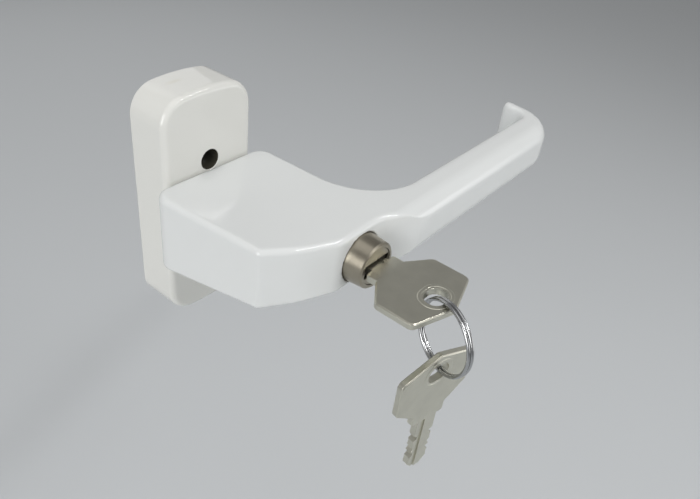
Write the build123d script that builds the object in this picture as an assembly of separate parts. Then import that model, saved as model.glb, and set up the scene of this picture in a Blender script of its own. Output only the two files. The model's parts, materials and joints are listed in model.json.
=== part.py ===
from build123d import *
import os
from math import atan2, cos, degrees, pi, radians, sin, sqrt, tan

# Locking window handle: a lever with a key cylinder in its neck, on an oblong base plate.
#
# Frame: the spindle axis is the Y axis and the back face of the base plate is Y = 0.
# The room is on the -Y side. "Depth" below is the distance from the window, so depth = -Y.
# Z runs up the long side of the base plate, and the lever points to +X when it is open.
# All lengths are in millimetres.

# Base plate
plate_width = 30.0
plate_height = 69.2
plate_depth = 13.0
plate_arch_radius = 66.0
plate_corner_radius = 8.0
plate_edge_radius = 1.7
plate_wall = 2.4
plate_rib = 1.6
screw_spacing = 27.6
screw_recess_radius = 2.95
screw_column_radius = 4.9
screw_recess_bevel = 0.2
boss_wall = 1.5
backing_thickness = 2.5

# Fixing screws
screw_radius = 2.0
screw_shank_radius = 1.75
screw_shank_reach = 0.4
screw_length = 21.0
screw_head_radius = 2.75
screw_head_height = 2.6
screw_head_bevel = 0.4
screw_seat = 1.6
screw_hole_gap = 0.2
screw_slot_width = 1.0
screw_slot_depth = 1.1
screw_tip_length = 2.0

# Castellated collar that the lever turns on and locks into
flange_thickness = 1.5
collar_radius = 9.0
collar_reach = 4.3
castle_depth = 3.3
castle_gap = 0.2
castle_count = 4
bush_wall = 0.65
bush_lip = 1.0

# Hub and spindle
hub_radius = 6.4
hub_recess = 0.4
spindle_size = 7.0
spindle_corner = 0.8
spindle_reach = 17.0
socket_gap = 0.06
socket_depth = 32.0
clip_groove_depth = 0.65
clip_thickness = 0.7
clip_rim = 1.9
clip_mouth = 70.0
clip_offset = 0.6
spring_thickness = 0.32
spring_rise = 0.36
spring_rim = 1.9

# Lever casting, seen from above: neck, flat for the lock, arm and curled tip
neck_left = 20.6
neck_right = 18.9
neck_root_radius = 4.5
neck_half_height = 11.7
neck_taper = 4.1
neck_side_taper = 4.6
neck_corner_setback = 10.1
neck_corner_radius = 2.2
neck_corner_inset = 5.0
neck_front_bulge = 1.0
neck_front_radius = 26.0
lock_face_step = 5.3
lock_face_start = 3.2
lock_face_end = 19.6
lock_blend_radius = 9.0
scoop_radius = 12.0
scoop_run = 13.0
scoop_exit_radius = 24.0
arm_front_depth = 63.1
arm_thickness = 10.7
arm_sweep_radius = 21.5
lever_length = 121.5
tip_outer_radius = 14.0
tip_inner_radius = 4.6
tip_return = 20.7
tip_thickness = 7.2
tip_round = 2.7
lever_edge_radius = 1.6
arm_round_radius = 5.6
arm_round_overlap = 0.02
lever_wall = 2.5
pocket_wall = 2.2
running_gap = 0.3

# Mechanism space behind the neck and its closing plate
guide_plate_thickness = 1.1
guide_plate_rim = 1.5
guide_plate_corner = 1.5
guide_gap = 0.1
mechanism_depth = 5.2
guide_screw_x = 11.5
guide_screw_z = 7.0
guide_screw_radius = 1.0
guide_screw_head = 1.8
guide_screw_length = 5.0
guide_boss_radius = 2.3

# Lock cylinder
lock_x = 12.35
lock_z = -0.8
barrel_radius = 7.25
barrel_rim_radius = 6.8
barrel_reach = 5.6
barrel_length = 27.0
barrel_rim_bevel = 0.45
barrel_gap = 0.15
plug_radius = 4.8
plug_gap = 0.05
plug_face_recess = 0.8
plug_flange_radius = 5.5
plug_flange_length = 1.4
plug_tail_width = 4.4
plug_tail_thickness = 2.4
plug_clip_thickness = 0.6
plug_clip_rim = 1.2
plug_groove_depth = 0.6
plug_end_length = 0.8
tail_bore_gap = 0.25
wafer_count = 5
wafer_pitch = 2.4
wafer_thickness = 0.9
wafer_gap = 0.05
wafer_height = 5.2
wafer_first = 5.4
wafer_tab_width = 0.65
wafer_tab_height = 1.15
wafer_spring_radius = 0.42
wafer_spring_length = 2.4

# Crank on the plug's tail, and the locking slide that it drives
crank_arm = 1.7
crank_pin_radius = 0.9
crank_thickness = 1.8
key_turn = 90.0
slide_thickness = 2.5
slide_nose_width = 4.0
slide_nose_length = 2.1
slide_body_width = 8.4
slide_body_length = 4.3
slide_rest_gap = 0.3

# Grub screws
spindle_grub_radius = 2.5
spindle_grub_length = 5.5
spindle_grub_depth = 25.0
barrel_grub_radius = 2.0
barrel_grub_length = 2.3
barrel_grub_depth = 48.0
barrel_grub_bite = 0.7
grub_gap = 0.05

# Keys
key_thickness = 2.1
bow_half_width = 13.2
bow_neck_half_width = 6.0
bow_shoulder = 5.1
bow_side_end = 16.4
bow_length = 20.6
bow_corner_radius = 2.0
bow_bevel = 0.35
bow_hole_width = 7.4
bow_hole_height = 5.6
bow_rim = 3.3
key_neck_length = 4.1
blade_width = 7.0
blade_tip_length = 2.95
blade_cut_depth = 1.1
blade_cut_reach = 1.15
blade_cut_flat = 0.45
blade_groove_width = 1.3
blade_groove_depth = 0.45
keyway_gap = 0.12

# Split ring
ring_inner_radius = 9.6
ring_wire = 1.0
ring_pitch = 1.45
ring_turns = 2
ring_end_angle = -20.0
ring_offset = 2.8
ring_aside = 1.8
ring_gap = 0.15
ring_yaw = 22.0
spare_yaw = 12.0
spare_gap = 0.6


# Depths that follow from the sizes above
flange_top = backing_thickness + flange_thickness
screw_seat_depth = flange_top + screw_seat
collar_top = plate_depth + collar_reach
neck_root = plate_depth + running_gap
guide_plate_top = neck_root + guide_plate_thickness
pocket_floor = guide_plate_top + mechanism_depth
lock_face_depth = arm_front_depth - lock_face_step
neck_corner_depth = lock_face_depth - neck_corner_setback
barrel_rim_depth = lock_face_depth + barrel_reach
barrel_back = barrel_rim_depth - barrel_length
plug_face = barrel_rim_depth - plug_face_recess
plug_back = barrel_back - plug_clip_thickness - plug_end_length - 2 * plug_gap
slide_bottom = guide_plate_top + guide_gap
slide_top = slide_bottom + slide_thickness
crank_bottom = slide_top + 2 * guide_gap
crank_radius = lock_x - collar_radius - running_gap
crank_top = crank_bottom + crank_thickness
bow_start = barrel_rim_depth + key_neck_length
last_wafer = plug_face - wafer_first - (wafer_count - 1) * wafer_pitch
blade_length = bow_start - last_wafer + blade_cut_reach + blade_tip_length
bush_outer = hub_radius + plug_gap + bush_wall
collar_bore = hub_radius + 2 * plug_gap
clip_bottom = hub_recess + clip_offset
screw_z = screw_spacing / 2
plug_clip_inner = plug_radius - plug_groove_depth + plug_gap
plug_clip_outer = plug_clip_inner + plug_clip_rim
tail_bore = plug_clip_outer + tail_bore_gap


def along_depth(sketch, start, end):
    """Extrude a sketch drawn in X and Z from one depth to another."""
    return extrude(Plane.XZ.offset(start) * sketch, end - start)


def post(radius, start, end, x=0.0, z=0.0):
    """Round bar parallel to the spindle."""
    return along_depth(Pos(x, z) * Circle(radius), start, end)


def tube(outer, inner, start, end, x=0.0, z=0.0):
    """Round tube parallel to the spindle."""
    return along_depth(Pos(x, z) * (Circle(outer) - Circle(inner)), start, end)


def upright(radius, x, depth, low, high):
    """Round bar parallel to Z."""
    return Pos(x, -depth, low) * Cylinder(radius, high - low, align=(Align.CENTER, Align.CENTER, Align.MIN))


def plate_outline(inset=0.0):
    """Base plate outline: straight sides, slightly arched ends and round corners."""
    half = plate_height / 2 - inset
    arch = plate_arch_radius - inset
    outline = Rectangle(plate_width - 2 * inset, 2 * half)
    outline &= Pos(0, half - arch) * Circle(arch)
    outline &= Pos(0, arch - half) * Circle(arch)
    return fillet(outline.vertices(), plate_corner_radius - inset)


def both_screws(piece):
    """A piece at the upper screw and its twin at the lower one."""
    return [Pos(0, 0, side * screw_z) * piece for side in (1, -1)]


def base_cover():
    """White cast cover with a screw column above and below the collar."""
    cover = along_depth(plate_outline(), 0, plate_depth)
    front = cover.faces().sort_by(Axis.Y)[0]
    cover = fillet(front.edges(), plate_edge_radius)
    hollow = along_depth(plate_outline(plate_wall), 0, plate_depth - plate_wall)
    boss_radius = collar_radius + running_gap + boss_wall
    hollow -= post(boss_radius, flange_top, plate_depth)
    for column in both_screws(post(screw_column_radius, flange_top, plate_depth)):
        hollow -= column
    rib_reach = plate_width / 2
    for side in (1, -1):
        rib = Box(2 * rib_reach, plate_depth, plate_rib)
        hollow -= Pos(0, -flange_top - plate_depth / 2, side * screw_z) * rib
        spine_length = plate_height / 2 - screw_z
        spine = Box(plate_rib, plate_depth, spine_length)
        hollow -= Pos(0, -flange_top - plate_depth / 2, side * (screw_z + spine_length / 2)) * spine
    cover -= hollow
    cover -= post(collar_radius + running_gap, 0, plate_depth)
    recess = post(screw_recess_radius, screw_seat_depth, plate_depth)
    recess += post(screw_radius + screw_hole_gap, 0, screw_seat_depth)
    bevel = Plane.XZ.offset(plate_depth - screw_recess_bevel) * Circle(screw_recess_radius)
    recess += extrude(bevel, screw_recess_bevel, taper=-45)
    for hole in both_screws(recess):
        cover -= hole
    return cover


def backing_plate():
    """Steel plate inside the cover that bears on the window."""
    gap = plate_wall + guide_gap
    outline = plate_outline(gap)
    plate = along_depth(outline, 0, backing_thickness)
    plate -= post(collar_radius, 0, backing_thickness)
    for hole in both_screws(post(screw_radius + screw_hole_gap, 0, backing_thickness)):
        plate -= hole
    return plate


def index_collar():
    """Flanged collar: the screws clamp its flange, and its front rim is castellated."""
    flange = Circle(collar_radius + running_gap + boss_wall)
    flange += Rectangle(2 * screw_column_radius, screw_spacing)
    flange += [Pos(0, side * screw_z) * Circle(screw_column_radius) for side in (1, -1)]
    collar = along_depth(flange, backing_thickness, flange_top)
    collar += post(collar_radius, backing_thickness, collar_top)
    collar -= post(bush_outer + plug_gap, backing_thickness, plate_depth - bush_lip)
    collar -= post(collar_bore, backing_thickness, collar_top)
    for hole in both_screws(post(screw_radius + screw_hole_gap, backing_thickness, flange_top)):
        collar -= hole
    notch_width = slide_nose_width + 2 * castle_gap
    notch = Box(collar_radius, castle_depth, notch_width, align=(Align.MIN, Align.MAX, Align.CENTER))
    for turn in range(castle_count):
        place = Rot(0, turn * 360 / castle_count, 0) * Pos(hub_radius / 2, -collar_top + castle_depth, 0)
        collar -= place * notch
    return collar


def fixing_screws():
    """Two slotted cheese-head screws, slim inside the plate, whose threads stand out behind it."""
    head = screw_seat_depth + screw_head_height
    screw = post(screw_radius, screw_seat_depth - screw_length + screw_tip_length, -screw_shank_reach)
    screw += post(screw_shank_radius, -screw_shank_reach, screw_seat_depth)
    tip = Plane.XZ.offset(screw_seat_depth - screw_length + screw_tip_length) * Circle(screw_radius)
    cone = degrees(atan2(0.8 * screw_radius, screw_tip_length))
    screw += extrude(tip, -screw_tip_length, taper=cone)
    screw += post(screw_head_radius, screw_seat_depth, head)
    crown = screw.faces().sort_by(Axis.Y)[0]
    screw = chamfer(crown.edges(), screw_head_bevel)
    slot = Box(3 * screw_head_radius, screw_slot_depth, screw_slot_width)
    screw -= Pos(0, -head + screw_slot_depth / 2, 0) * Rot(0, 35, 0) * slot
    return Compound(both_screws(screw))


def hub_bush():
    """Thin nylon sleeve between the collar and the turning hub."""
    inner = hub_radius + plug_gap
    return tube(bush_outer, inner, backing_thickness + guide_gap, plate_depth - bush_lip - guide_gap)


def neck_height(depth):
    """Half height of the lever at a depth: both faces lean in towards the room."""
    return neck_half_height - (depth - neck_root) * tan(radians(neck_taper))


def lever_outline():
    """Outline of the lever seen from above, drawn in X and Y."""
    left = neck_left - neck_corner_inset
    right = neck_right + neck_side_taper
    arm_back = arm_front_depth - arm_thickness
    tip_end = arm_front_depth - tip_return
    tip_inner = lever_length - tip_thickness
    exit_x = lock_face_end + scoop_run
    front_run = lock_face_start + left
    front_rise = lock_face_depth - neck_corner_depth
    front_bulge = neck_front_bulge / sqrt(front_run ** 2 + front_rise ** 2)
    front_middle_x = -left + front_run / 2 - front_rise * front_bulge
    front_middle_depth = neck_corner_depth + front_rise / 2 + front_run * front_bulge
    corners = [
        (-neck_left, -neck_root, neck_root_radius),
        (-left, -neck_corner_depth, neck_corner_radius),
        (front_middle_x, -front_middle_depth, neck_front_radius),
        (lock_face_start, -lock_face_depth, lock_blend_radius),
        (lock_face_end, -lock_face_depth, scoop_radius),
        (exit_x, -arm_front_depth, scoop_exit_radius),
        (lever_length, -arm_front_depth, tip_outer_radius),
        (lever_length, -tip_end, tip_round),
        (tip_inner, -tip_end, tip_round),
        (tip_inner, -arm_back, tip_inner_radius),
        (right, -arm_back, arm_sweep_radius),
        (neck_right, -neck_root, neck_root_radius),
    ]
    outline = make_face(Polyline([(x, y) for x, y, radius in corners], close=True))
    for x, y, radius in corners:
        outline = fillet(outline.vertices().sort_by_distance((x, y, 0))[0], radius)
    return outline


def lever_blank():
    """Outer form of the lever: the plan outline between two leaning faces, all edges rounded."""
    front = arm_front_depth + 1
    plan = extrude(lever_outline(), neck_half_height + 1, both=True)
    wedge = make_face(Polyline([
        (-neck_root, neck_height(neck_root)),
        (-front, neck_height(front)),
        (-front, -neck_height(front)),
        (-neck_root, -neck_height(neck_root)),
    ], close=True))
    reach = lever_length + neck_left
    slab = extrude(Plane.YZ.offset(-neck_left - 1) * wedge, reach + 2)
    blank = plan & slab
    rims = [edge for edge in blank.edges() if is_rim(edge)]
    blank = fillet(rims, lever_edge_radius)
    cutter = arm_rounding()
    return blank - cutter - mirror(cutter, Plane.XY)


def arm_rounding():
    """What is cut off the arm's upper front edge and round its tip: a corner outside a large arc.

    The cut follows the upper leaning face, so the arc's axis keeps one distance from it.
    """
    lean = radians(neck_taper)
    top = Plane((0, -neck_root, neck_half_height), x_dir=(1, 0, 0), z_dir=(0, -sin(lean), cos(lean)))
    inside = arm_round_radius - arm_round_overlap
    front = (neck_root - arm_front_depth + arm_round_radius * (1 - sin(lean))) / cos(lean)
    front -= arm_round_overlap
    end = lever_length - inside
    axis = Polyline([(-neck_left, front), (end, front), (end, front + tip_return)])
    axis = fillet(axis.vertices().sort_by_distance((end, front, 0))[0], tip_outer_radius - inside)
    axis = top * Pos(0, 0, -inside) * axis
    side = arm_round_radius + 1
    corner = Rectangle(side, side, align=(Align.MIN, Align.MAX)) - Circle(arm_round_radius)
    start = Plane(axis.position_at(0), x_dir=-top.y_dir, z_dir=axis.tangent_at(0))
    return sweep(start * corner, axis)


def is_rim(edge):
    """True for the edges of the two leaning faces, apart from those on the neck's root."""
    ends = [edge.position_at(t) for t in (0.02, 0.5, 0.98)]
    leaning = all(abs(abs(p.Z) - neck_height(-p.Y)) < 0.01 for p in ends)
    at_root = all(abs(p.Y + neck_root) < 0.01 for p in ends)
    return leaning and not at_root


def root_shape(inset):
    """Flat back face of the neck, drawn inwards by an inset."""
    left = neck_left - neck_root_radius - inset
    right = neck_right - neck_root_radius - inset
    shape = RectangleRounded(left + right, 2 * (neck_half_height - inset), guide_plate_corner)
    return Pos((right - left) / 2, 0) * shape


def slide_end():
    """End of the locking slide's body at rest, farthest from the collar."""
    return collar_radius + slide_rest_gap + slide_nose_length + slide_body_length


def lever():
    """Cast lever: solid arm, hollow neck, hub, lock bore and screw holes."""
    casting = lever_blank()
    recess = along_depth(root_shape(guide_plate_rim), neck_root, guide_plate_top)
    space_right = slide_end() + slide_rest_gap
    space_left = neck_left - neck_root_radius / 2 - lever_wall
    space_height = 2 * (neck_half_height - lever_wall)
    room = RectangleRounded(space_left + space_right, space_height, guide_plate_corner)
    space = along_depth(Pos((space_right - space_left) / 2, 0) * room, guide_plate_top, pocket_floor)
    for x, z in guide_screw_places():
        space -= post(guide_boss_radius, guide_plate_top, pocket_floor, x, z)
    rail_inner = slide_body_width / 2 + guide_gap
    rail_length = space_right - collar_radius - 2 * slide_rest_gap
    for side in (1, -1):
        rail = Box(rail_length, slide_thickness + guide_gap, 1.4, align=(Align.MIN, Align.MAX, Align.CENTER))
        place = Pos(collar_radius + 2 * slide_rest_gap, -guide_plate_top, side * (rail_inner + 0.7))
        space -= place * rail
    casting -= recess
    casting -= space
    left = neck_left - neck_corner_inset
    pocket_right = -hub_radius - 2 * plug_gap - pocket_wall
    pocket_width = pocket_right + left - lever_wall
    pocket_height = 2 * (neck_height(neck_corner_depth) - lever_wall - guide_screw_radius)
    pocket_end = neck_corner_depth - neck_corner_radius
    pocket = RectangleRounded(pocket_width, pocket_height, 1.5)
    pocket_x = pocket_right - pocket_width / 2
    casting -= along_depth(Pos(pocket_x, 0) * pocket, pocket_floor, pocket_end)
    casting += post(hub_radius, hub_recess, pocket_floor)
    clip_top = clip_bottom + clip_thickness + guide_gap
    casting -= tube(hub_radius + 1, hub_radius - clip_groove_depth, clip_bottom, clip_top)
    casting -= along_depth(spindle_section(socket_gap), hub_recess, socket_depth)
    casting -= post(crank_radius + running_gap, slide_top, pocket_floor, lock_x, lock_z)
    casting -= post(tail_bore, pocket_floor, barrel_back, lock_x, lock_z)
    casting -= post(barrel_radius + barrel_gap, barrel_back, barrel_rim_depth + 1, lock_x, lock_z)
    deep = neck_half_height + 1
    casting -= upright(spindle_grub_radius + grub_gap, 0, spindle_grub_depth, -deep, 0)
    bite_z = lock_z - barrel_radius + 1
    casting -= upright(barrel_grub_radius + grub_gap, lock_x, barrel_grub_depth, -deep, bite_z)
    for x, z in guide_screw_places():
        hole_end = neck_root + guide_screw_length + 2 * guide_gap
        casting -= post(guide_screw_radius + grub_gap, guide_plate_top, hole_end, x, z)
    return casting


def spindle_section(gap=0.0):
    """Square section with softened corners."""
    return RectangleRounded(spindle_size + 2 * gap, spindle_size + 2 * gap, spindle_corner)


def spindle():
    """Square bar that turns the window's gear."""
    bar = along_depth(spindle_section(), -spindle_reach, socket_depth - guide_gap)
    end = bar.faces().sort_by(Axis.Y)[-1]
    return chamfer(end.edges(), 0.6)


def grub_screw(radius, length, bite):
    """Socket-head grub screw standing on Z = 0, with its hexagon socket at the bottom end."""
    screw = Cylinder(radius, length, align=(Align.CENTER, Align.CENTER, Align.MAX))
    point = screw.faces().sort_by(Axis.Z)[-1]
    screw = chamfer(point.edges(), bite)
    socket = extrude(RegularPolygon(radius * 0.55, 6), length * 0.45)
    return screw - Pos(0, 0, -length) * socket


def spindle_grub_screw():
    """Grub screw that holds the spindle, from below."""
    screw = grub_screw(spindle_grub_radius, spindle_grub_length, 0.6)
    return Pos(0, -spindle_grub_depth, -spindle_size / 2 - grub_gap / 2) * screw


def barrel_grub_screw():
    """Grub screw that bites into the barrel, from below."""
    screw = grub_screw(barrel_grub_radius, barrel_grub_length, 0.4)
    return Pos(lock_x, -barrel_grub_depth, lock_z - barrel_radius + barrel_grub_bite - grub_gap / 2) * screw


def c_ring(outer, inner, mouth):
    """Open ring with its mouth towards -Z."""
    ring = Circle(outer) - Circle(inner)
    half = outer * tan(radians(mouth / 2))
    ring -= make_face(Polyline([(0, 0), (-half, -outer), (half, -outer)], close=True))
    return fillet(ring.vertices(), 0.3)


def retaining_ring():
    """Open ring in the hub's groove, behind the collar."""
    inner = hub_radius - clip_groove_depth + plug_gap
    ring = c_ring(inner + clip_rim, inner, clip_mouth)
    return along_depth(ring, clip_bottom + guide_gap / 2, clip_bottom + guide_gap / 2 + clip_thickness)


def disc_spring():
    """Shallow cone washer that keeps the lever drawn against the collar."""
    inner = hub_radius + guide_gap
    outer = inner + spring_rim
    top = backing_thickness - guide_gap / 2
    section = make_face(Polyline([
        (inner, -top + spring_rise),
        (inner, -top + spring_rise + spring_thickness),
        (outer, -top + spring_thickness),
        (outer, -top),
    ], close=True))
    return revolve(section, Axis.Y)


def guide_screw_places():
    """The two corners of the neck's root that the guide plate is screwed to."""
    return [(-guide_screw_x, guide_screw_z), (-guide_screw_x, -guide_screw_z)]


def guide_plate():
    """Thin plate that closes the neck behind the locking slide."""
    outline = root_shape(guide_plate_rim + guide_gap)
    plate = along_depth(outline, neck_root, guide_plate_top)
    plate -= post(collar_radius + running_gap, neck_root, guide_plate_top)
    for x, z in guide_screw_places():
        plate -= post(guide_screw_radius + grub_gap, neck_root, guide_plate_top, x, z)
        sink = Plane.XZ.offset(neck_root) * Pos(x, z) * Circle(guide_screw_head + grub_gap)
        plate -= extrude(sink, guide_screw_head - guide_screw_radius, taper=45)
    return plate


def guide_screws():
    """Two small countersunk screws."""
    screws = []
    for x, z in guide_screw_places():
        screw = post(guide_screw_radius, neck_root, neck_root + guide_screw_length, x, z)
        head = Plane.XZ.offset(neck_root) * Pos(x, z) * Circle(guide_screw_head)
        screw += extrude(head, guide_screw_head - guide_screw_radius, taper=45)
        slot = Box(2 * guide_screw_head, 0.4, 0.5)
        screw -= Pos(x, -neck_root - 0.2, z) * Rot(0, 20, 0) * slot
        screws.append(screw)
    return Compound(screws)


def lock_barrel():
    """Nickel cylinder housing, slightly conical where it stands out of the neck."""
    bore = plug_radius + plug_gap
    flange_bore = plug_flange_radius + plug_gap
    seat = plug_face - plug_flange_length - plug_gap
    section = make_face(Polyline([
        (bore, -barrel_back),
        (barrel_radius, -barrel_back),
        (barrel_radius, -lock_face_depth),
        (barrel_rim_radius, barrel_rim_bevel - barrel_rim_depth),
        (barrel_rim_radius - barrel_rim_bevel, -barrel_rim_depth),
        (flange_bore, -barrel_rim_depth),
        (flange_bore, -seat),
        (bore, -seat),
    ], close=True))
    barrel = Pos(lock_x, 0, lock_z) * revolve(section, Axis.Y)
    seat_z = lock_z - barrel_radius + barrel_grub_bite
    barrel -= upright(barrel_grub_radius + grub_gap, lock_x, barrel_grub_depth, seat_z - barrel_radius, seat_z)
    return barrel


def wafer_depths():
    """Depth of the middle of each wafer, counted from the plug's face inwards."""
    return [plug_face - wafer_first - index * wafer_pitch for index in range(wafer_count)]


def keyway(gap):
    """Cross-section of the key blade with a groove in each face, grown by a gap."""
    shape = Rectangle(blade_width + 2 * gap, key_thickness + 2 * gap)
    for side in (1, -1):
        groove = Rectangle(blade_groove_width - 2 * gap, 2 * blade_groove_depth)
        shape -= Pos(side * blade_width * 0.2, side * (key_thickness / 2 + gap)) * groove
    return shape


def lock_plug():
    """Turning plug with keyway, wafer slots and a flat tail."""
    plug = post(plug_radius, plug_back, plug_face, lock_x, lock_z)
    plug += post(plug_flange_radius, plug_face - plug_flange_length, plug_face, lock_x, lock_z)
    groove_start = plug_back + plug_end_length
    groove_end = groove_start + plug_clip_thickness + 2 * plug_gap
    plug -= tube(plug_radius + 1, plug_radius - plug_groove_depth, groove_start, groove_end, lock_x, lock_z)
    blade_end = bow_start - blade_length
    plug -= along_depth(Pos(lock_x, lock_z) * keyway(keyway_gap), blade_end - 4 * keyway_gap, plug_face)
    slot_width = wafer_thickness + 2 * wafer_gap
    spring_top = wafer_height / 2 + wafer_tab_height + wafer_gap
    spring_left = -wafer_spring_length / 2 - wafer_gap
    spring_right = wafer_spring_length / 2 + wafer_tab_width + 2 * wafer_gap
    for depth in wafer_depths():
        slot = Box(2 * plug_flange_radius, slot_width, wafer_height + 2 * wafer_gap)
        plug -= Pos(lock_x, -depth, lock_z) * slot
        nook = Box(spring_right - spring_left, slot_width, spring_top, align=(Align.MIN, Align.CENTER, Align.MIN))
        plug -= Pos(lock_x + spring_left, -depth, lock_z) * nook
    tail = Rectangle(plug_tail_thickness, plug_tail_width)
    plug += along_depth(Pos(lock_x, lock_z) * Rot(0, 0, -key_turn / 2) * tail, crank_bottom, plug_back)
    return plug


def plug_clip():
    """Open ring that keeps the plug in the barrel."""
    ring = Pos(lock_x, lock_z) * c_ring(plug_clip_outer, plug_clip_inner, clip_mouth)
    start = plug_back + plug_end_length + plug_gap
    return along_depth(ring, start, start + plug_clip_thickness)


def wafers():
    """Thin brass tumblers, lifted level with the plug by the key."""
    plate = Rectangle(2 * plug_radius, wafer_height) & Circle(plug_radius - wafer_gap)
    tab_x = wafer_spring_length / 2 + wafer_gap + wafer_tab_width / 2
    tab = Rectangle(wafer_tab_width, wafer_tab_height * 2)
    plate += Pos(tab_x, wafer_height / 2) * tab
    plate -= Rectangle(blade_width + 2 * keyway_gap, key_thickness + 2 * keyway_gap)
    half = wafer_thickness / 2
    plate = Pos(lock_x, lock_z) * plate
    return Compound([along_depth(plate, depth - half, depth + half) for depth in wafer_depths()])


def wafer_springs():
    """One small spring beside each wafer's tab."""
    height = wafer_height / 2 + wafer_tab_height / 2
    bar = Cylinder(wafer_spring_radius, wafer_spring_length, rotation=(0, 90, 0))
    return Compound([Pos(lock_x, -depth, lock_z + height) * bar for depth in wafer_depths()])


def lock_crank():
    """Disc staked on the plug's tail, with an eccentric pin for the slide."""
    crank = post(crank_radius, crank_bottom, crank_top, lock_x, lock_z)
    tail = Rectangle(plug_tail_thickness, plug_tail_width)
    crank -= along_depth(Pos(lock_x, lock_z) * Rot(0, 0, -key_turn / 2) * tail, crank_bottom, crank_top)
    pin_x, pin_z = crank_pin()
    foot = along_depth(Pos(pin_x, pin_z) * Circle(crank_pin_radius), slide_bottom + guide_gap, crank_bottom)
    return crank + foot


def crank_pin():
    """Centre of the crank pin with the lock open, half the key's turn before its lowest point."""
    start = radians(key_turn / 2)
    return lock_x + crank_arm * sin(start), lock_z - crank_arm * cos(start)


def locking_slide():
    """Flat bolt: its nose enters a castellation of the collar, its cross slot takes the crank pin."""
    nose_tip = collar_radius + slide_rest_gap
    body_start = nose_tip + slide_nose_length
    nose = Rectangle(slide_nose_length + 1, slide_nose_width, align=(Align.MIN, Align.CENTER))
    shape = Pos(nose_tip, 0) * nose
    body = Rectangle(slide_body_length, slide_body_width, align=(Align.MIN, Align.CENTER))
    shape += Pos(body_start, 0) * body
    pin_x, pin_z = crank_pin()
    low = lock_z - crank_arm - crank_pin_radius - guide_gap
    high = pin_z + crank_pin_radius + guide_gap
    slot = Rectangle(2 * (crank_pin_radius + guide_gap), high - low)
    shape -= Pos(pin_x, (high + low) / 2) * slot
    shape = fillet(shape.vertices().group_by(Axis.X)[0], 0.5)
    return along_depth(shape, slide_bottom, slide_top)


def blade_outline():
    """Blade in X and Y, from the bow (Y = 0) to its tip, with cuts on both edges."""
    half = blade_width / 2
    edge = [(half, 0.0)]
    for index, depth in enumerate(wafer_depths()):
        along = bow_start - depth
        low = half - blade_cut_depth * (0.55 + 0.45 * cos(index * 2.4))
        edge += [(half, along - blade_cut_reach), (low, along - blade_cut_flat)]
        edge += [(low, along + blade_cut_flat), (half, along + blade_cut_reach)]
    edge += [(half, blade_length - 0.75 * blade_tip_length), (half * 0.35, blade_length)]
    return make_face(Polyline(edge + [(-x, y) for x, y in reversed(edge)], close=True))


def key():
    """Flat key in X and Y: the bow's neck starts at Y = 0, the bow points to -Y, the blade to +Y."""
    corners = [
        (-bow_neck_half_width, 0),
        (-bow_half_width, -bow_shoulder),
        (-bow_half_width, -bow_side_end),
        (0, -bow_length),
        (bow_half_width, -bow_side_end),
        (bow_half_width, -bow_shoulder),
        (bow_neck_half_width, 0),
    ]
    bow = make_face(Polyline(corners, close=True))
    bow = fillet(bow.vertices(), bow_corner_radius)
    bow -= Pos(0, -hole_centre()) * SlotOverall(bow_hole_width, bow_hole_height)
    head = extrude(bow, key_thickness / 2, both=True)
    flats = head.faces().filter_by(Axis.Z)
    head = chamfer([edge for face in flats for edge in face.outer_wire().edges()], bow_bevel)
    blade = blade_outline() + Pos(0, -bow_shoulder / 2) * Rectangle(blade_width, bow_shoulder)
    blade = extrude(blade, key_thickness / 2, both=True)
    for side in (1, -1):
        groove = Box(blade_groove_width, blade_length + 1, 2 * blade_groove_depth)
        place = Pos(side * blade_width * 0.2, blade_length / 2 + 0.5, side * key_thickness / 2)
        blade -= place * groove
    return head + blade


def hole_centre():
    """Distance from the start of the bow to the middle of its ring hole."""
    return bow_length - bow_rim - bow_hole_height / 2


def key_in_lock():
    """The key that turns the plug."""
    return Pos(lock_x, -bow_start, lock_z) * key()


def ring_centre():
    """Middle of the split ring, hung on the rim of the first key's bow."""
    turn = radians(ring_yaw)
    half_width = (ring_pitch + ring_wire) / 2
    half_chord = ring_offset / cos(turn) + half_width * tan(turn) + ring_gap
    drop = sqrt(ring_inner_radius ** 2 - half_chord ** 2)
    depth = bow_start + bow_length - bow_rim + ring_offset
    return Vector(lock_x - ring_aside, -depth, lock_z + key_thickness / 2 - drop)


def biarc(start, start_way, end, end_way):
    """Two arcs that leave one point and reach another along given directions."""
    gap = end - start
    ways = start_way + end_way
    across = 2 * (1 - start_way.dot(end_way))
    run = gap.dot(ways)
    reach = (sqrt(run ** 2 + across * gap.dot(gap)) - run) / across
    middle = (start + end + (start_way - end_way) * reach) * 0.5
    first = Edge.make_tangent_arc(start, start_way, middle)
    second = Edge.make_tangent_arc(middle, first.tangent_at(1), end)
    return [first, second]


def ring_route():
    """Points and directions of the ring's wire, a quarter turn apart."""
    radius = ring_inner_radius + ring_wire / 2
    steps = 4 * ring_turns
    route = []
    for step in range(steps + 1):
        angle = radians(ring_end_angle + 90 * step)
        along = ring_pitch * (step - steps / 2) / 4
        point = Vector(along, radius * cos(angle), radius * sin(angle))
        way = Vector(ring_pitch / (2 * pi), -radius * sin(angle), radius * cos(angle)).normalized()
        route.append((point, way))
    return route


def key_ring():
    """Split ring of flat-lying turns, wound as one wire."""
    route = ring_route()
    arcs = []
    for (start, start_way), (end, end_way) in zip(route, route[1:]):
        arcs += biarc(start, start_way, end, end_way)
    path = Wire(arcs)
    section = Plane(path.position_at(0), z_dir=path.tangent_at(0)) * RegularPolygon(ring_wire / 2, 8)
    samples = [path.position_at(index / 400) for index in range(401)]
    apart = 4 * ring_wire
    least = 2 * ring_inner_radius
    step = path.length / 400
    for index, here in enumerate(samples):
        for other in range(index + int(apart / step) + 1, 401):
            least = min(least, (samples[other] - here).length)
    print("split ring: least gap between turns", round(least - ring_wire, 3), "mm")
    return Pos(ring_centre()) * Rot(0, 0, -ring_yaw) * sweep(section, path)


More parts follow.
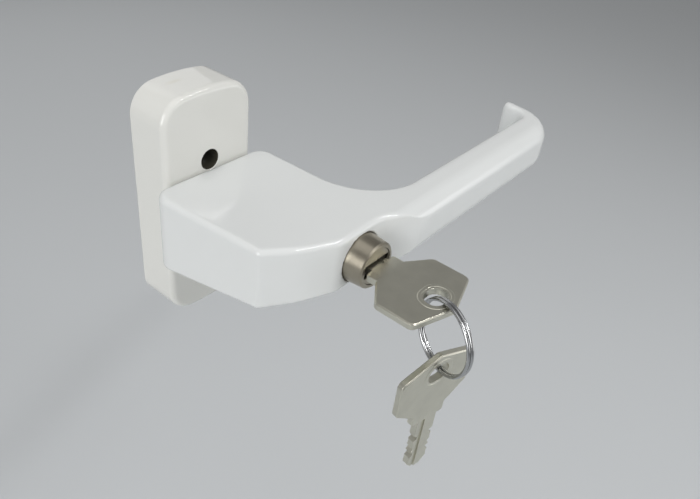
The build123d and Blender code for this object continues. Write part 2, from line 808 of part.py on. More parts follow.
def spare_key():
    """The second key, hanging blade down from the ring."""
    centre = ring_centre()
    pivot = centre.Z - ring_inner_radius - ring_wire / 2
    hole_top = pivot + ring_wire / 2 + spare_gap
    shift = hole_top - bow_hole_height / 2
    hung = Rot(-90, 0, 0) * Pos(0, hole_centre(), 0) * key()
    return Pos(centre.X, centre.Y, shift) * Rot(0, 0, -spare_yaw) * hung


nodes = {
    "base_cover": base_cover,
    "backing_plate": backing_plate,
    "index_collar": index_collar,
    "fixing_screws": fixing_screws,
    "hub_bush": hub_bush,
    "lever": lever,
    "spindle": spindle,
    "spindle_grub_screw": spindle_grub_screw,
    "retaining_ring": retaining_ring,
    "disc_spring": disc_spring,
    "guide_plate": guide_plate,
    "guide_screws": guide_screws,
    "lock_barrel": lock_barrel,
    "barrel_grub_screw": barrel_grub_screw,
    "lock_plug": lock_plug,
    "plug_clip": plug_clip,
    "wafers": wafers,
    "wafer_springs": wafer_springs,
    "lock_crank": lock_crank,
    "locking_slide": locking_slide,
    "key_in_lock": key_in_lock,
    "key_ring": key_ring,
    "spare_key": spare_key,
}

os.makedirs("parts", exist_ok=True)
for name, make in nodes.items():
    export_step(make(), f"parts/{name}.step")
    print(name)
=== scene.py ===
import json
from math import asin, atan2, cos, pi, radians, sin, sqrt

import bmesh
import bpy
from mathutils import Matrix, Vector
from mathutils.geometry import tessellate_polygon


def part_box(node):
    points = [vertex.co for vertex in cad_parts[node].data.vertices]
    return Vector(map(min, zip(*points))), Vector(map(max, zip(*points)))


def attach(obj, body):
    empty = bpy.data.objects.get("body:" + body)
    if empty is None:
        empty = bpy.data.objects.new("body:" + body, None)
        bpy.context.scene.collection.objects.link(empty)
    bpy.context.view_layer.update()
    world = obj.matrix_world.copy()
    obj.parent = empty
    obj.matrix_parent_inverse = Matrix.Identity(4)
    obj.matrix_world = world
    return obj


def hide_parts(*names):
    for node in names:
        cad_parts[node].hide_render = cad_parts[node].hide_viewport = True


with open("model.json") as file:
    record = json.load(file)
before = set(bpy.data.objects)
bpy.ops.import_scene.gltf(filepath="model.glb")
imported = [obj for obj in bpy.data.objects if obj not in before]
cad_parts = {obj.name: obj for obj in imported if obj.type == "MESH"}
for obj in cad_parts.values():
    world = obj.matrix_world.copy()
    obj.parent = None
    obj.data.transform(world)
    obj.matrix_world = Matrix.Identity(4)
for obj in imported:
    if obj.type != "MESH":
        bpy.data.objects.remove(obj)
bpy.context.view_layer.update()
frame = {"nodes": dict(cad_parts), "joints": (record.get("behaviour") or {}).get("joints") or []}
nodes = frame["nodes"]
mm = 0.001

# Materials


def linearColour(code):
    channels = [int(code[i:i + 2], 16) / 255 for i in (1, 3, 5)]
    return [c / 12.92 if c <= 0.04045 else ((c + 0.055) / 1.055) ** 2.4 for c in channels] + [1.0]


def darker(colour, share):
    return [c * share for c in colour[:3]] + [1]


def perMm(size):
    return 1 / (size * mm)


def addNode(tree, kind, settings=None, links=None, **attributes):
    node = tree.nodes.new(kind)
    for name, value in attributes.items():
        setattr(node, name, value)
    for name, value in (settings or {}).items():
        node.inputs[name].default_value = value
    for name, source in (links or {}).items():
        tree.links.new(source, node.inputs[name])
    return node


def newMaterial(name, **settings):
    material = bpy.data.materials.new(name)
    material.use_nodes = True
    shader = material.node_tree.nodes["Principled BSDF"]
    for socket, value in settings.items():
        shader.inputs[socket].default_value = value
    return material, material.node_tree, shader


def setMaterial(mesh, finish):
    mesh.materials.clear()
    mesh.materials.append(finish)


def cadPlace(tree):
    # Every piece's own coordinates are those of the CAD frame, in metres
    return addNode(tree, "ShaderNodeTexCoord").outputs["Object"]


def splitPlace(tree, place):
    return addNode(tree, "ShaderNodeSeparateXYZ", links={"Vector": place}).outputs


def noise(tree, place, scale, detail):
    return addNode(tree, "ShaderNodeTexNoise", {"Scale": scale, "Detail": detail}, {"Vector": place}).outputs["Fac"]


def calculate(tree, operation, first, second):
    # The second value is a number or the output of another node
    given = isinstance(second, float)
    settings, links = ({1: second}, {0: first}) if given else ({}, {0: first, 1: second})
    return addNode(tree, "ShaderNodeMath", settings, links, operation=operation).outputs[0]


def mixColour(tree, share, first, second):
    # Each colour is a list or the output of another node
    settings = {socket: colour for socket, colour in ((6, first), (7, second)) if isinstance(colour, list)}
    links = {socket: colour for socket, colour in ((6, first), (7, second)) if not isinstance(colour, list)}
    return addNode(tree, "ShaderNodeMix", settings, {0: share, **links}, data_type="RGBA").outputs[2]


def spread(tree, value, low, high):
    return addNode(tree, "ShaderNodeMapRange", {"To Min": low, "To Max": high}, {"Value": value}).outputs[0]


def fade(tree, value, start, end, low, high):
    ends = {"From Min": start, "From Max": end, "To Min": low, "To Max": high}
    return addNode(tree, "ShaderNodeMapRange", ends, {"Value": value}, interpolation_type="SMOOTHSTEP").outputs[0]


def addBump(tree, shader, height, strength, distance):
    bump = addNode(tree, "ShaderNodeBump", {"Strength": strength, "Distance": distance * mm}, {"Height": height})
    tree.links.new(bump.outputs[0], shader.inputs["Normal"])


bore = {
    "spacing": 27.6,  # mm
    "radius": 3.05,
    "front": 12.85,  # the bare wall, painted with shade, begins just behind the plate's face
    "colour": "#45433A",  # raw die casting, painted darker as the shade deep in the bore
}


def boreShadeMask(tree, place):
    # 1 inside the two screw bores, which the powder doesn't reach; painted shade darkens them there
    parts = splitPlace(tree, place)
    high = addNode(tree, "ShaderNodeMath", links={0: parts["Z"]}, operation="ABSOLUTE").outputs[0]
    off = calculate(tree, "SUBTRACT", high, bore["spacing"] * mm / 2)
    flat = addNode(tree, "ShaderNodeCombineXYZ", links={"X": parts["X"], "Y": off}).outputs[0]
    reach = addNode(tree, "ShaderNodeVectorMath", links={0: flat}, operation="LENGTH").outputs["Value"]
    near = calculate(tree, "LESS_THAN", reach, bore["radius"] * mm)
    deep = calculate(tree, "GREATER_THAN", parts["Y"], -bore["front"] * mm)
    return calculate(tree, "MULTIPLY", near, deep)


rubMark = {
    "place": (-4.4, -4.8, 34.0),  # mm, on the top of the base plate
    "reach": (3.6, 1.4, 3.0),
    "patchSize": 1.2,
    "colour": "#C6BFA6",
    "strength": 0.55,
}


def rubMask(tree, place):
    # A faint streak where hands and cloths pass
    middle = [-c * mm for c in rubMark["place"]]
    shift = addNode(tree, "ShaderNodeVectorMath", {1: middle}, {0: place}, operation="ADD").outputs[0]
    size = [perMm(c) for c in rubMark["reach"]]
    unit = addNode(tree, "ShaderNodeVectorMath", {1: size}, {0: shift}, operation="MULTIPLY").outputs[0]
    reach = addNode(tree, "ShaderNodeVectorMath", links={0: unit}, operation="LENGTH").outputs["Value"]
    faded = fade(tree, reach, 0, 1, rubMark["strength"], 0)
    patch = noise(tree, place, perMm(rubMark["patchSize"]), 4)
    return calculate(tree, "MULTIPLY", faded, patch)


powderCoat = {
    "plateColour": "#DFDFDA",  # the base plate is a slightly warmer white
    "leverColour": "#DEE0DF",
    "toneSize": 22.0,  # mm between the slow changes of tone
    "toneShade": 0.955,
    "peelSize": 1.6,  # mm between the swells of the orange peel
    "peelDepth": 0.02,
    "peelStrength": 0.12,
    "roughness": 0.06,
    "roughnessSpan": 0.3,
    "gripStart": 32.0,  # mm from the spindle, where hands begin to dull the gloss
    "gripEnd": 56.0,
    "gripRoughness": 0.25,
}


def makePowderCoat(name, colour, rubbedAndShaded=False):
    # Polyester powder sprayed on and stoved: even gloss with a faint orange peel and crisp lines of light
    material, tree, shader = newMaterial(name, **{"IOR": 1.5})
    place = cadPlace(tree)
    tone = noise(tree, place, perMm(powderCoat["toneSize"]), 3)
    base = linearColour(colour)
    skin = mixColour(tree, tone, darker(base, powderCoat["toneShade"]), base)
    # A real rub streak on the top, and painted shade in the screw bores
    if rubbedAndShaded:
        skin = mixColour(tree, rubMask(tree, place), skin, linearColour(rubMark["colour"]))
        # Painted shade: the bores are coloured dark
        skin = mixColour(tree, boreShadeMask(tree, place), skin, linearColour(bore["colour"]))
    tree.links.new(skin, shader.inputs["Base Color"])
    gloss, span = powderCoat["roughness"], powderCoat["roughnessSpan"]
    fresh = spread(tree, tone, gloss * (1 - span), gloss * (1 + span))
    along = splitPlace(tree, place)["X"]
    gripped = fade(tree, along, powderCoat["gripStart"] * mm, powderCoat["gripEnd"] * mm, 0, 1)
    worn = addNode(tree, "ShaderNodeMix", {3: powderCoat["gripRoughness"]}, {0: gripped, 2: fresh},
                   data_type="FLOAT").outputs[0]
    tree.links.new(worn, shader.inputs["Roughness"])
    peel = noise(tree, place, perMm(powderCoat["peelSize"]), 1.5)
    addBump(tree, shader, peel, powderCoat["peelStrength"], powderCoat["peelDepth"])
    return material


keywayShade = {
    "depth": 3.5,  # mm, how far it reaches into the plug
    # Painted shade colour for the keyway's mouth
    "colour": "#1C1810",
}


def keywayShadeMask(tree):
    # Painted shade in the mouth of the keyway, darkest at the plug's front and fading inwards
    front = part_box("lock_plug")[0].y
    return fade(tree, splitPlace(tree, cadPlace(tree))["Y"], front, front + keywayShade["depth"] * mm, 1, 0)


metal = {
    "turnedColour": "#A8A192",  # dull nickel over brass reads a little yellow
    "keyColour": "#D8D6C8",
    "wireColour": "#B9BABB",
    "brassColour": "#9C8A57",
    "zincColour": "#CBCFD3",
    "oxideColour": "#26272A",
    "feedPitch": 0.22,  # mm, drawn coarser than the lathe leaves it so that it shows
    "brushPitch": 0.16,
    "bloomSize": 5.0,  # mm between the patches of tone
    "bloomShade": 0.8,
    "grainStrength": 0.35,
    "glossSpan": (0.8, 1.3),  # shares of the roughness, from the grain's valleys to its tops
}


def makeMetal(name, colour, grainScale, roughness, depth, keywayShaded=False):
    # The grain of the blank, its depth in mm, shows through the plating, with soft patches of tone over it
    material, tree, shader = newMaterial(name, **{"Metallic": 1.0})
    place = cadPlace(tree)
    stretched = addNode(tree, "ShaderNodeMapping", {"Scale": grainScale}, {"Vector": place}).outputs[0]
    grain = noise(tree, stretched, 1.0, 4)
    bloom = noise(tree, place, perMm(metal["bloomSize"]), 3)
    base = linearColour(colour)
    skin = mixColour(tree, bloom, darker(base, metal["bloomShade"]), base)
    # Painted shade laid over the colour at the keyway
    if keywayShaded:
        skin = mixColour(tree, keywayShadeMask(tree), skin, linearColour(keywayShade["colour"]))
    tree.links.new(skin, shader.inputs["Base Color"])
    low, high = (roughness * share for share in metal["glossSpan"])
    tree.links.new(spread(tree, grain, low, high), shader.inputs["Roughness"])
    addBump(tree, shader, grain, metal["grainStrength"], depth)
    return material


nylonMix = {
    "paleColour": "#DDD8C8",
    "deepColour": "#D3CDBB",
    "flowSize": 6.0,  # mm
    "sparkSize": 0.3,
    "sparkDepth": 0.01,
    "sparkStrength": 0.2,
    "roughness": (0.42, 0.56),
}


def makeNylon(name):
    # Moulded nylon: milky and half matt, with the slow tone of its flow in the mould
    material, tree, shader = newMaterial(name, **{"IOR": 1.53})
    place = cadPlace(tree)
    flow = noise(tree, place, perMm(nylonMix["flowSize"]), 2)
    skin = mixColour(tree, flow, linearColour(nylonMix["deepColour"]), linearColour(nylonMix["paleColour"]))
    tree.links.new(skin, shader.inputs["Base Color"])
    tree.links.new(spread(tree, flow, *nylonMix["roughness"]), shader.inputs["Roughness"])
    spark = noise(tree, place, perMm(nylonMix["sparkSize"]), 1)
    addBump(tree, shader, spark, nylonMix["sparkStrength"], nylonMix["sparkDepth"])
    return material


feed, brush = perMm(metal["feedPitch"]), perMm(metal["brushPitch"])
turned = (60, feed, 60)  # grain scales along X, Y and Z, per metre
brushed = (brush, 120, brush)
drawn = (400, 400, 400)
even = (900, 900, 900)

plateCoat = makePowderCoat("powderCoatWarmWhite", powderCoat["plateColour"], rubbedAndShaded=True)
leverCoat = makePowderCoat("powderCoatCoolWhite", powderCoat["leverColour"])
# Satin bands of light round the barrel
turnedNickel = makeMetal("nickelPlatedTurned", metal["turnedColour"], turned, roughness=0.3, depth=0.004)
# Soft sheen with clouds of tone in it
keyNickel = makeMetal("nickelPlatedStamped", metal["keyColour"], brushed, roughness=0.3, depth=0.003)
# Bright thin streaks along the wire
wireNickel = makeMetal("nickelPlatedWire", metal["wireColour"], drawn, roughness=0.18, depth=0.002)
# Yellow core of the lock, with painted shade nearly black at the keyway
brass = makeMetal("brassTurned", metal["brassColour"], turned, roughness=0.34, depth=0.004, keywayShaded=True)
# Cool, even grey
zinc = makeMetal("steelZincPlated", metal["zincColour"], even, roughness=0.36, depth=0.003)
# Near black with a dull shine
oxide = makeMetal("steelBlackOxide", metal["oxideColour"], even, roughness=0.42, depth=0.003)
nylon = makeNylon("nylonMoulded")

finishes = {
    "base_cover": plateCoat, "backing_plate": zinc, "index_collar": zinc, "fixing_screws": zinc,
    "hub_bush": nylon, "lever": leverCoat, "spindle": zinc, "spindle_grub_screw": oxide,
    "retaining_ring": oxide, "disc_spring": oxide, "guide_plate": zinc, "guide_screws": zinc,
    "lock_barrel": turnedNickel, "barrel_grub_screw": oxide, "lock_plug": brass, "plug_clip": oxide,
    "wafers": brass, "wafer_springs": oxide, "lock_crank": zinc, "locking_slide": zinc,
    "key_in_lock": keyNickel, "key_ring": wireNickel, "spare_key": keyNickel,
}
for name, finish in finishes.items():
    setMaterial(nodes[name].data, finish)
print("finishes set:", len(finishes))

# Castings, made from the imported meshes


def smoothStep(share):
    share = min(max(share, 0), 1)
    return share * share * (3 - 2 * share)


def sceneObject(name, data):
    thing = bpy.data.objects.new(name, data)
    bpy.context.scene.collection.objects.link(thing)
    return thing


def addPiece(name, mesh, body, slot, finish, *replaced):
    piece = sceneObject(name, mesh)
    setMaterial(mesh, finish)
    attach(piece, body)
    if replaced:
        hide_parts(*replaced)
    return piece


def newMesh(name, points, faces):
    mesh = bpy.data.meshes.new(name)
    mesh.from_pydata(points, [], faces)
    return mesh


def startBuild(mesh):
    build = bmesh.new()
    build.from_mesh(mesh)
    return build


def endBuild(build, mesh):
    build.to_mesh(mesh)
    build.free()


def mergeFlats(build):
    bmesh.ops.dissolve_limit(build, angle_limit=radians(1), verts=build.verts, edges=build.edges)


def weldedMesh(name, node, gap=0.002):
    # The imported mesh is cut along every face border, and welding it over this gap in mm
    # lets the light run round the fillets
    source = nodes[node].data
    mesh = newMesh(name, [v.co for v in source.vertices], [tuple(p.vertices) for p in source.polygons])
    build = startBuild(mesh)
    bmesh.ops.remove_doubles(build, verts=build.verts, dist=gap * mm)
    endBuild(build, mesh)
    return mesh


def evaluatedMesh(piece):
    view = bpy.context.evaluated_depsgraph_get()
    return bpy.data.meshes.new_from_object(piece.evaluated_get(view))


def smoothShade(mesh, crease):
    mesh.shade_smooth()
    mesh.set_sharp_from_angle(angle=radians(crease))


def smoothCasting(piece, crease=24):
    smoothShade(piece.data, crease)
    weigh = piece.modifiers.new("weightedNormals", "WEIGHTED_NORMAL")
    weigh.keep_sharp = True


def rollEdges(piece, width, segments=2, crease=30, sharpest=30):
    smoothShade(piece.data, crease)
    roll = piece.modifiers.new("rolledEdge", "BEVEL")
    roll.width = width * mm
    roll.segments = segments
    roll.limit_method = "ANGLE"
    roll.angle_limit = radians(sharpest)
    roll.harden_normals = True


plateMesh = weldedMesh("plateCasting", "base_cover")
smoothCasting(addPiece("plateCasting", plateMesh, "base", "plate_paint", plateCoat, "base_cover"))

lever = {
    "grid": 0.5,  # mm, mesh size of the cast skin
    "softStart": 20.0,  # mm along X, where the polished edges begin to melt into the arm
    "softRun": 24.0,
    "ridgeStart": 34.0,  # the ridge above the lock stays crisp for longer
    "ridgeHeight": 7.0,
    "ridgeBlend": 3.0,
    "softDepth": -47.0,  # only the front of the neck takes part
    "depthBlend": 4.0,
    "passes": 90,
    "pulls": (0.55, -0.5),  # in and out by turns, so that the arm keeps its thickness
}


def softShare(place):
    # 0 where the lever stays crisp, 1 where its edges are fully melted
    ridge = min(max((abs(place.z / mm) - lever["ridgeHeight"]) / lever["ridgeBlend"], 0), 1)
    start = lever["softStart"] + (lever["ridgeStart"] - lever["softStart"]) * ridge
    along = (place.x / mm - start) / lever["softRun"]
    front = (lever["softDepth"] - place.y / mm) / lever["depthBlend"] + 1 if along < 1 else 1
    return smoothStep(along) * min(max(front, 0), 1)


def softenMesh(mesh):
    build = startBuild(mesh)
    build.verts.ensure_lookup_table()
    places = [v.co.copy() for v in build.verts]
    weights = [softShare(p) for p in places]
    rings = [[e.other_vert(v).index for e in v.link_edges] for v in build.verts]
    moving = [i for i, w in enumerate(weights) if w > 0]
    for step in range(lever["passes"]):
        pull = lever["pulls"][step % 2]
        fresh = {}
        for i in moving:
            around = rings[i]
            middle = sum((places[j] for j in around), Vector()) / len(around)
            fresh[i] = places[i] + (middle - places[i]) * pull * weights[i]
        for i, place in fresh.items():
            places[i] = place
    for v, place in zip(build.verts, places):
        v.co = place
    endBuild(build, mesh)
    return weights


def addLever():
    # Castings are vibratory polished before the powder: the arm's edges flow, the neck's stay crisp
    piece = addPiece("leverCasting", weldedMesh("leverCasting", "lever"), "handle", "lever_paint", leverCoat, "lever")
    grid = piece.modifiers.new("grid", "REMESH")
    grid.mode = "VOXEL"
    grid.voxel_size = lever["grid"] * mm
    mesh = evaluatedMesh(piece)
    piece.modifiers.clear()
    weights = softenMesh(mesh)
    source = sceneObject("leverSource", piece.data)
    smoothCasting(source)
    piece.data = mesh
    group = piece.vertex_groups.new(name="crisp")
    for i, w in enumerate(weights):
        if w < 1:
            group.add([i], 1 - w, "REPLACE")
    wrap = piece.modifiers.new("crispWrap", "SHRINKWRAP")
    wrap.target = source
    wrap.vertex_group = "crisp"
    mesh.shade_smooth()
    light = piece.modifiers.new("crispNormals", "DATA_TRANSFER")
    light.object = source
    light.use_loop_data = True
    light.data_types_loops = {"CUSTOM_NORMAL"}
    light.loop_mapping = "POLYINTERP_NEAREST"
    light.vertex_group = "crisp"
    bpy.context.view_layer.update()
    mesh = evaluatedMesh(piece)
    piece.modifiers.clear()
    piece.vertex_groups.clear()
    piece.data = mesh
    bpy.data.objects.remove(source)
    setMaterial(mesh, leverCoat)
    print("lever faces:", len(mesh.polygons))


addLever()

# Keys

stamping = {
    "crease": 20,  # degrees
    "sharpest": 25,
    "burr": 0.14,  # mm, the blanking tool's burr rolled over
}


def addKey(name, node, body):
    mesh = weldedMesh(name, node)
    build = startBuild(mesh)
    mergeFlats(build)
    endBuild(build, mesh)
    piece = addPiece(name, mesh, body, "key_nickel", keyNickel, node)
    rollEdges(piece, stamping["burr"], crease=stamping["crease"], sharpest=stamping["sharpest"])


addKey("keyInLock", "key_in_lock", "key")
addKey("spareKey", "spare_key", "spare")

coinedRim = {
    "holeWidth": 7.4,  # mm, the ring hole of the key's bow
    "holeHeight": 5.6,
    "bowRim": 3.3,  # from the hole to the bow's end
    "width": 1.1,
    "rise": 0.1,
    "foot": 0.3,  # share of the rise that is sunk in the bow
    "apart": 0.45,  # from the hole's edge to the rim
    "steps": 64,
    "rows": 7,
}


def spareTurn(spanY, wide, thick):
    # The angle at which a plate of this width and thickness spans this far towards the room
    reach = sqrt(wide * wide + thick * thick)
    return asin(min(1, spanY / reach)) - atan2(thick, wide)


def keyPlaces():
    # The hole's middle, the bow's directions across, along and out of its face, and half its thickness
    low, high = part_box("key_in_lock")
    inset = (coinedRim["bowRim"] + coinedRim["holeHeight"] / 2) * mm
    first = Vector(((low.x + high.x) / 2, low.y + inset, (low.z + high.z) / 2))
    half = (high.z - low.z) / 2
    wide = high.x - low.x
    low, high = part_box("spare_key")
    second = Vector(((low.x + high.x) / 2, (low.y + high.y) / 2, high.z - inset))
    turn = spareTurn(high.y - low.y, wide, 2 * half)
    across = Vector((cos(turn), -sin(turn), 0))
    return {
        "key": (first, Vector((1, 0, 0)), Vector((0, 1, 0)), Vector((0, 0, 1)), half),
        "spare": (second, across, Vector((0, 0, -1)), Vector((-sin(turn), -cos(turn), 0)), half),
    }


def addCoinedRims(name, body, place):
    centre, across, along, out, half = place
    steps, rows, foot = coinedRim["steps"], coinedRim["rows"], coinedRim["foot"]
    radius = coinedRim["holeHeight"] / 2 + coinedRim["apart"] + coinedRim["width"] / 2
    shift = (coinedRim["holeWidth"] - coinedRim["holeHeight"]) / 2
    points, faces = [], []
    for side in (1, -1):
        first = len(points)
        for step in range(steps):
            angle = 2 * pi * (step + 0.5) / steps
            for row in range(rows):
                lean = pi * row / (rows - 1)
                reach = radius + coinedRim["width"] / 2 * cos(lean)
                x = reach * cos(angle) + (shift if cos(angle) > 0 else -shift)
                y = reach * sin(angle)
                z = half / mm + coinedRim["rise"] * ((1 + foot) * sin(lean) - foot)
                points.append(centre + (across * x + along * y + out * (side * z)) * mm)
        for step in range(steps):
            here, there = first + step * rows, first + (step + 1) % steps * rows
            for row in range(rows - 1):
                faces.append((here + row, there + row, there + row + 1, here + row + 1)[::side])
    mesh = newMesh(name, points, faces)
    mesh.shade_smooth()
    addPiece(name, mesh, body, "key_nickel", keyNickel)


places = keyPlaces()
addCoinedRims("keyRims", "key", places["key"])
addCoinedRims("spareRims", "spare", places["spare"])

shoulder = {
    "halfWidth": 6.0,  # mm
    "bowLength": 20.6,
    "overlap": 3.0,
    "reach": 3.3,  # towards the lock, where it stops the key
    "thin": 0.04,
    "corner": 0.9,
    "edge": 0.3,
}


def cutPlate(name, loops, low, high, place):
    # An extruded plate from an outline and its holes, from low to high in mm
    corners = tessellate_polygon([[Vector((x, y, 0)) for x, y in loop] for loop in loops])
    outline = [point for loop in loops for point in loop]
    count = len(outline)
    points = [place @ (Vector((x, y, z)) * mm) for z in (low, high) for x, y in outline]
    faces = [tuple(c) for c in corners] + [tuple(i + count for i in reversed(c)) for c in corners]
    first = 0
    for loop in loops:
        size = len(loop)
        for i in range(size):
            here, there = first + i, first + (i + 1) % size
            faces.append((here, there, there + count, here + count))
        first += size
    mesh = newMesh(name, points, faces)
    build = startBuild(mesh)
    bmesh.ops.recalc_face_normals(build, faces=build.faces)
    mergeFlats(build)
    endBuild(build, mesh)
    return mesh


def roundedLoop(halfWidth, halfHeight, radius, steps=6):
    loop = []
    for quarter in range(4):
        x = (halfWidth - radius) * (1 if quarter in (0, 3) else -1)
        y = (halfHeight - radius) * (1 if quarter in (0, 1) else -1)
        for step in range(steps + 1):
            angle = pi / 2 * (quarter + step / steps)
            loop.append((x + radius * cos(angle), y + radius * sin(angle)))
    return loop


def addShoulder(name, body, place):
    # The stop that meets the lock's face when the key is home
    centre, across, along, out, half = place
    turn = Matrix((across, along, across.cross(along))).transposed().to_4x4()
    start = -(coinedRim["bowRim"] + coinedRim["holeHeight"] / 2) + shoulder["bowLength"]
    middle = start + (shoulder["reach"] - shoulder["overlap"]) / 2
    length = (shoulder["reach"] + shoulder["overlap"]) / 2
    loop = [(x, y + middle) for x, y in roundedLoop(shoulder["halfWidth"], length, shoulder["corner"])]
    thick = half / mm - shoulder["thin"]
    mesh = cutPlate(name, [loop], -thick, thick, Matrix.Translation(centre) @ turn)
    rollEdges(addPiece(name, mesh, body, "key_nickel", keyNickel), shoulder["edge"], 3)


addShoulder("keyShoulder", "key", places["key"])
addShoulder("spareShoulder", "spare", places["spare"])
print("keys made")

# Face of the lock

lockFace = {
    "radius": 5.42,  # mm, the plug's nickel face plate
    "thickness": 0.5,
    "sunk": 0.22,  # below the barrel's rim
    "slotHalfWidth": 5.0,
    "slotHalfHeight": 2.1,
    "slotCorner": 0.5,
    "edge": 0.12,
    "steps": 72,
}


def addLockFace():
    low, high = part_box("lock_barrel")
    front = Vector(((low.x + high.x) / 2, low.y + lockFace["sunk"] * mm, (low.z + high.z) / 2))
    radius = lockFace["radius"]
    angles = [2 * pi * i / lockFace["steps"] for i in range(lockFace["steps"])]
    rim = [(radius * cos(angle), radius * sin(angle)) for angle in angles]
    slot = roundedLoop(lockFace["slotHalfWidth"], lockFace["slotHalfHeight"], lockFace["slotCorner"])
    place = Matrix.Translation(front) @ Matrix.Rotation(radians(90), 4, "X")
    mesh = cutPlate("plugFacePlate", [rim, slot], -lockFace["thickness"], 0, place)
    rollEdges(addPiece("plugFacePlate", mesh, "plug", "satin_nickel", turnedNickel), lockFace["edge"])


addLockFace()
print("lock face made")

# Wound wire: the split ring and the wafer springs


def addTube(name, points, radius, sides, body, slot, finish, *replaced):
    # A round wire along a line of points, closed at both ends
    verts, faces = [], []
    normal = None
    for index, point in enumerate(points):
        before = points[max(index - 1, 0)]
        after = points[min(index + 1, len(points) - 1)]
        way = (after - before).normalized()
        if normal is None:
            normal = way.orthogonal().normalized()
        normal = (normal - way * normal.dot(way)).normalized()
        side = way.cross(normal)
        for corner in range(sides):
            angle = 2 * pi * corner / sides
            verts.append(point + (normal * cos(angle) + side * sin(angle)) * radius)
    for index in range(len(points) - 1):
        here, there = index * sides, (index + 1) * sides
        for corner in range(sides):
            follow = (corner + 1) % sides
            faces.append((here + corner, here + follow, there + follow, there + corner))
    faces.append(tuple(reversed(range(sides))))
    faces.append(tuple(range(len(verts) - sides, len(verts))))
    mesh = newMesh(name, verts, faces)
    smoothShade(mesh, 50)
    addPiece(name, mesh, body, slot, finish, *replaced)


ring = {
    "innerRadius": 9.6,  # mm
    "wire": 1.0,
    "pitch": 1.1,  # the two turns lie almost on each other
    "stepAngle": 8.0,  # degrees, where the wire steps over to its second turn
    "stepReach": 12.0,
    "samples": 240,
    "sides": 14,
}


def addSplitRing():
    joint = next(j for j in frame["joints"] if j["name"] == "ring_turn")
    centre, axis = Vector(joint["pos_m"]), Vector(joint["axis"]).normalized()
    upright = Vector((0, 0, 1))
    level = upright.cross(axis).normalized()
    radius = (ring["innerRadius"] + ring["wire"] / 2) * mm
    start = ring["stepAngle"] + ring["stepReach"]
    sweep = 720 - 2 * ring["stepReach"]
    points = []
    for index in range(ring["samples"] + 1):
        degrees = start + sweep * index / ring["samples"]
        middle = (degrees - ring["stepAngle"] - 360) / ring["stepReach"]
        along = (smoothStep((middle + 1) / 2) - 0.5) * ring["pitch"] * mm
        angle = radians(degrees)
        points.append(centre + axis * along + (level * cos(angle) + upright * sin(angle)) * radius)
    wire = ring["wire"] * mm / 2
    addTube("splitRing", points, wire, ring["sides"], "ring", "ring_steel", wireNickel, "key_ring")


addSplitRing()

spring = {
    "count": 5,
    "wire": 0.16,  # mm
    "radius": 0.32,
    "turns": 6,
    "samples": 108,
    "sides": 6,
}


def addWaferSprings():
    low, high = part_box("wafer_springs")
    half = (high.z - low.z) / 2
    gap = ((high.y - low.y) - 2 * half) / (spring["count"] - 1)
    wire, radius = spring["wire"] * mm, spring["radius"] * mm
    for index in range(spring["count"]):
        y = low.y + half + gap * index
        points = []
        for sample in range(spring["samples"] + 1):
            share = sample / spring["samples"]
            angle = 2 * pi * spring["turns"] * share
            x = low.x + wire + (high.x - low.x - 2 * wire) * share
            points.append(Vector((x, y + radius * cos(angle), low.z + half + radius * sin(angle))))
        replaced = ("wafer_springs",) if index == 0 else ()
        name = f"waferSpring{index + 1}"
        addTube(name, points, wire / 2, spring["sides"], "plug", "dark_steel", oxide, *replaced)


addWaferSprings()
print("ring and springs wound")

# Fixing screws

screw = {
    "crest": 2.0,  # mm
    "root": 1.62,
    "pitch": 0.7,
    "threadStart": 0.5,
    "pointLength": 2.0,
    "pointShare": 0.25,  # how thick the very tip stays
    "flank": 2.6,  # a higher number gives a narrower thread
    "sides": 28,
    "rowsPerTurn": 8,
}


def addThread(build, foot, start, end):
    sides, rows, tip = screw["sides"], screw["rowsPerTurn"], screw["pointShare"]
    count = int((end - start) / mm / screw["pitch"] * rows)
    loops = []
    for row in range(count + 1):
        y = start + (end - start) * row / count
        taper = min(1, (end - y) / mm / screw["pointLength"] * (1 - tip) + tip)
        loop = []
        for side in range(sides):
            phase = (y / mm / screw["pitch"] - side / sides) % 1
            rise = max(0, 1 - abs(phase - 0.5) * screw["flank"])
            radius = (screw["root"] + (screw["crest"] - screw["root"]) * rise) * taper * mm
            angle = 2 * pi * side / sides
            loop.append(build.verts.new(foot + Vector((radius * cos(angle), y, radius * sin(angle)))))
        loops.append(loop)
    for here, there in zip(loops, loops[1:]):
        for side in range(sides):
            follow = (side + 1) % sides
            build.faces.new((here[side], there[side], there[follow], here[follow]))
    build.faces.new(loops[0])
    build.faces.new(tuple(reversed(loops[-1])))


def addFixingScrews():
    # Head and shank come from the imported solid, the plain rod behind them becomes a rolled thread
    mesh = weldedMesh("fixingScrewPair", "fixing_screws")
    low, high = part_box("fixing_screws")
    build = startBuild(mesh)
    cut = screw["threadStart"] * mm
    bmesh.ops.bisect_plane(build, geom=build.verts[:] + build.edges[:] + build.faces[:],
                           plane_co=(0, cut, 0), plane_no=(0, 1, 0), clear_outer=True)
    x = (low.x + high.x) / 2
    reach = (high.z - low.z) / 2
    head = high.x - x
    for z in ((low.z + high.z) / 2 + side * (reach - head) for side in (1, -1)):
        addThread(build, Vector((x, 0, z)), cut, high.y)
    endBuild(build, mesh)
    addPiece("fixingScrewPair", mesh, "base", "zinc_steel", zinc, "fixing_screws")
    smoothShade(mesh, 32)


addFixingScrews()
print("screws threaded")

# Stage, lamps and camera

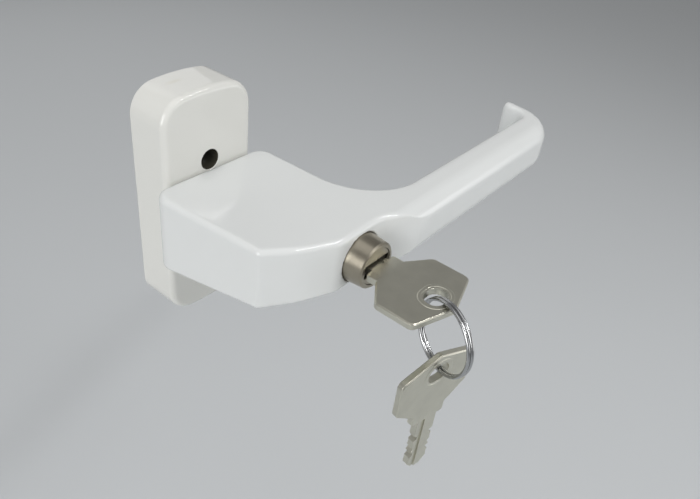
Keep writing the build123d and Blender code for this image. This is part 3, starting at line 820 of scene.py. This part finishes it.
stage = {
    "floorHeight": -260.0,  # mm
    "floorSize": 60000.0,
    "floorColour": "#CDD0D2",
    "ceilingLevel": 0.28,
    "horizonLevel": 0.46,  # the studio's walls are paler than its ceiling
    "wallFoot": 0.05,  # how steep the ray is where the wall begins to darken
    "wallTop": 0.45,
    "wallColour": "#77797B",  # what the camera sees past the floor
}
lamps = {  # place, aim and size in mm, power in watts, spread in degrees
    "stripLamp": ((230, -640, 660), (10, -40, 0), (800, 36), 2.3, 140),  # thin, draws the lines on the edges
    "leftLamp": ((-1150, -180, 320), (20, -40, 0), (800, 760), 3.9, 120),
    "frontLamp": ((650, -800, -60), (40, -40, 0), (700, 360), 0.8, 130),  # low, lifts the undersides
    "topLamp": ((-60, -60, 950), (30, -40, 0), (800, 800), 1.6, 180),
    "backLamp": ((350, 900, 450), (40, 0, 0), (800, 800), 1.1, 180),
}
camera = {  # fitted to the photograph
    "place": (-107.85, -137.71, 105.62),  # mm
    "azimuth": -55.21,  # degrees
    "elevation": 35.90,
    "roll": 7.54,
    "lens": 34.67,
    "nearest": 10.0,
}


def addFloor():
    half = stage["floorSize"] * mm / 2
    z = stage["floorHeight"] * mm
    mesh = newMesh("floor", [(-half, -half, z), (half, -half, z), (half, half, z), (-half, half, z)], [(0, 1, 2, 3)])
    floor = sceneObject("floor", mesh)
    # Matt background paper: plain and pale, without a reflection
    material, tree, shader = newMaterial("floorMattPaper", **{"IOR": 1.45, "Roughness": 0.8})
    shader.inputs["Base Color"].default_value = linearColour(stage["floorColour"])
    setMaterial(mesh, material)


def addLamp(name, place, aim, size, power, cone):
    data = bpy.data.lights.new(name, "AREA")
    data.shape = "RECTANGLE"
    data.size, data.size_y = (side * mm for side in size)
    data.energy = power
    data.spread = radians(cone)  # keeps the lamps off the floor beside them
    lamp = sceneObject(name, data)
    lamp.location = Vector(place) * mm
    direction = Vector(aim) * mm - lamp.location
    lamp.rotation_euler = direction.to_track_quat("-Z", "Y").to_euler()


def addCamera():
    azimuth, elevation, roll = (radians(camera[key]) for key in ("azimuth", "elevation", "roll"))
    back = Vector((sin(azimuth) * cos(elevation), -cos(azimuth) * cos(elevation), sin(elevation)))
    level = (-back).cross(Vector((0, 0, 1))).normalized()
    upright = level.cross(-back)
    right = level * cos(roll) + upright * sin(roll)
    up = upright * cos(roll) - level * sin(roll)
    data = bpy.data.cameras.new("camera")
    data.lens = camera["lens"]
    data.clip_start = camera["nearest"] * mm
    holder = sceneObject("camera", data)
    turn = Matrix((right, up, back)).transposed().to_4x4()
    holder.matrix_world = Matrix.Translation(Vector(camera["place"]) * mm) @ turn
    bpy.context.scene.camera = holder


def addWorld():
    # The light comes from pale walls, while the camera sees them in the tone of the far floor
    world = bpy.data.worlds.new("world")
    bpy.context.scene.world = world
    world.use_nodes = True
    tree = world.node_tree
    sky = tree.nodes["Background"]
    seen = addNode(tree, "ShaderNodeLightPath").outputs["Is Camera Ray"]
    wall = mixColour(tree, seen, linearColour("#FFFFFF"), linearColour(stage["wallColour"]))
    tree.links.new(wall, sky.inputs["Color"])
    steepness = splitPlace(tree, addNode(tree, "ShaderNodeTexCoord").outputs["Generated"])["Z"]
    level = fade(tree, steepness, stage["wallFoot"], stage["wallTop"], stage["horizonLevel"], stage["ceilingLevel"])
    shown = addNode(tree, "ShaderNodeMix", {3: 1.0}, {0: seen, 2: level}, data_type="FLOAT").outputs[0]
    tree.links.new(shown, sky.inputs["Strength"])


addFloor()
for name, values in lamps.items():
    addLamp(name, *values)
addCamera()
addWorld()
bpy.context.scene.view_settings.view_transform = "Standard"
print("stage, lamps and camera set")
